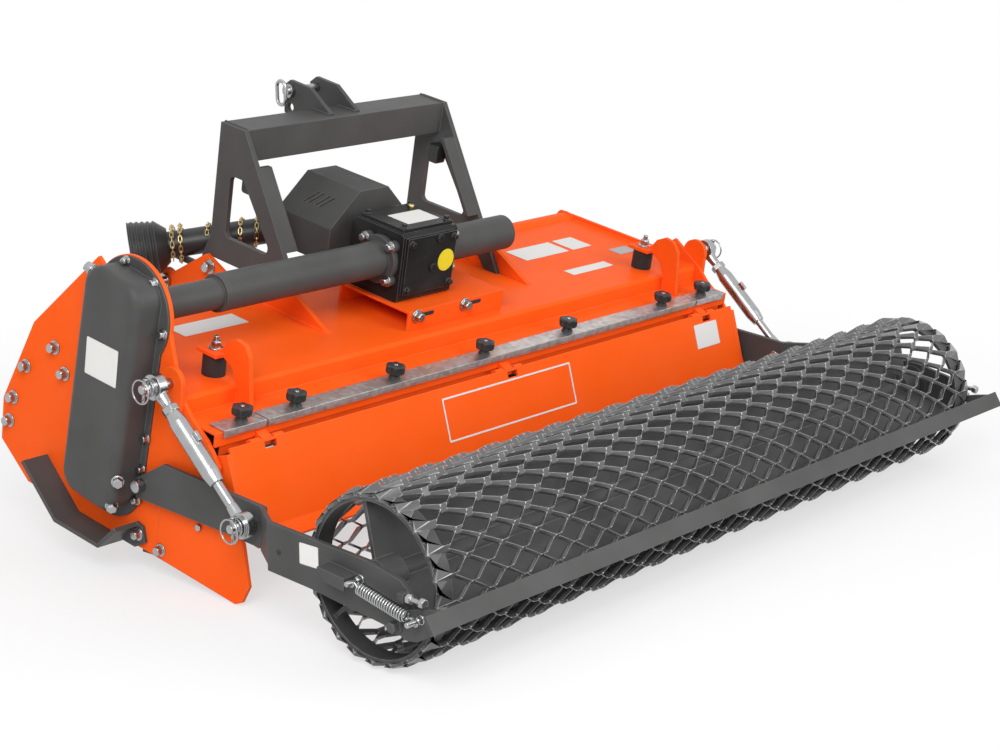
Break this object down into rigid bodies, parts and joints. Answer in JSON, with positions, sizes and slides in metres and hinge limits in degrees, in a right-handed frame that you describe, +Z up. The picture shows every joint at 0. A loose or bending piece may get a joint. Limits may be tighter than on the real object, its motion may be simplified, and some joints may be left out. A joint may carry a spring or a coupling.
{
  "type": "stone burier",
  "caption": "Tractor-mounted stone burier: bladed rotor under an orange hood, rear door, chain drive, headstock and an expanded-metal cage roller on depth arms.",
  "frame": {"origin": "on the floor, under the middle of the machine's box", "axes": "+X to the right seen from behind, along the rotor; +Y forward to the tractor; +Z up"},
  "size_m": [1.924, 1.4713, 0.8758],
  "materials": {
    "orange_paint": "gloss",
    "grey_paint": "satin",
    "blade_steel": "satin",
    "zinc": "satin",
    "gearbox_black": "gloss",
    "black_plastic": "matte",
    "rubber": "matte"
  },
  "bodies": {
    "casing": {"side_plate_left": "orange_paint", "side_plate_right": "orange_paint", "rear_guards": "orange_paint", "hood_deck": "orange_paint", "front_tube": "orange_paint", "hitch_brackets": "orange_paint", "hitch_pins": "zinc", "headstock_leg_left": "grey_paint", "headstock_leg_right": "grey_paint", "headstock_beam": "grey_paint", "top_link_ears": "grey_paint", "top_link_pin": "zinc", "drive_tube": "grey_paint", "stub_tube": "grey_paint", "gearbox": "gearbox_black", "gearbox_pedestal": "orange_paint", "input_shaft": "zinc", "input_guard": "grey_paint", "chain_case": "grey_paint", "skids": "grey_paint", "link_ears": "orange_paint", "clamp_strips": "zinc", "clamp_knobs": "black_plastic", "grid_brackets": "orange_paint", "grid_buffers": "rubber", "stone_grid": "grey_paint", "rotor_bearing": "grey_paint", "driveline_tube": "black_plastic", "driveline_bells": "black_plastic", "driveline_yoke": "zinc", "hinge_brackets": "orange_paint", "arm_pivots": "zinc"},
    "rotor": {"rotor_shaft": "grey_paint", "rotor_blades": "blade_steel"},
    "door": {"rear_door": "orange_paint"},
    "roller_frame": {"roller_arm_left": "grey_paint", "roller_arm_right": "grey_paint", "scraper_bar": "grey_paint", "scraper_springs": "zinc", "roller_bearings": "grey_paint"},
    "roller": {"roller_cage": "grey_paint", "roller_hoops": "grey_paint"},
    "barrel_left": {"link_barrel_left": "zinc"},
    "barrel_right": {"link_barrel_right": "zinc"},
    "rod_left": {"link_rod_left": "zinc"},
    "rod_right": {"link_rod_right": "zinc"}
  },
  "joints": [
    {"name": "rotor_spin", "type": "hinge", "parent": "casing", "child": "rotor", "pos_m": [0, 0.253, 0.2], "axis": [1, 0, 0], "continuous": true},
    {"name": "roller_lift", "type": "hinge", "parent": "casing", "child": "roller_frame", "pos_m": [0, 0.14, 0.195], "axis": [1, 0, 0], "range_deg": [-4, 10]},
    {"name": "roller_spin", "type": "hinge", "parent": "roller_frame", "child": "roller", "pos_m": [0, -0.524, 0.166], "axis": [1, 0, 0], "continuous": true},
    {"name": "door_swing", "type": "hinge", "parent": "casing", "child": "door", "pos_m": [0, -0.05942, 0.29162], "axis": [-1, 0, 0], "range_deg": [0, 25]},
    {"name": "link_swing_left", "type": "hinge", "parent": "casing", "child": "barrel_left", "pos_m": [-0.88, 0.0549, 0.412], "axis": [1, 0, 0], "range_deg": [-3.5, 8]},
    {"name": "link_slide_left", "type": "slide", "parent": "barrel_left", "child": "rod_left", "axis": [0, -0.7252, -0.6885], "range_m": [-0.02, 0.045]},
    {"name": "link_swing_right", "type": "hinge", "parent": "casing", "child": "barrel_right", "pos_m": [0.88, 0.0549, 0.412], "axis": [1, 0, 0], "range_deg": [-3.5, 8]},
    {"name": "link_slide_right", "type": "slide", "parent": "barrel_right", "child": "rod_right", "axis": [0, -0.7252, -0.6885], "range_m": [-0.02, 0.045]}
  ],
  "couplings": [
    {"joint": "link_swing_left", "follows": "roller_lift", "ratio": 0.71},
    {"joint": "link_slide_left", "follows": "roller_lift", "m_per_rad": 0.212},
    {"joint": "link_swing_right", "follows": "roller_lift", "ratio": 0.71},
    {"joint": "link_slide_right", "follows": "roller_lift", "m_per_rad": 0.212}
  ]
}
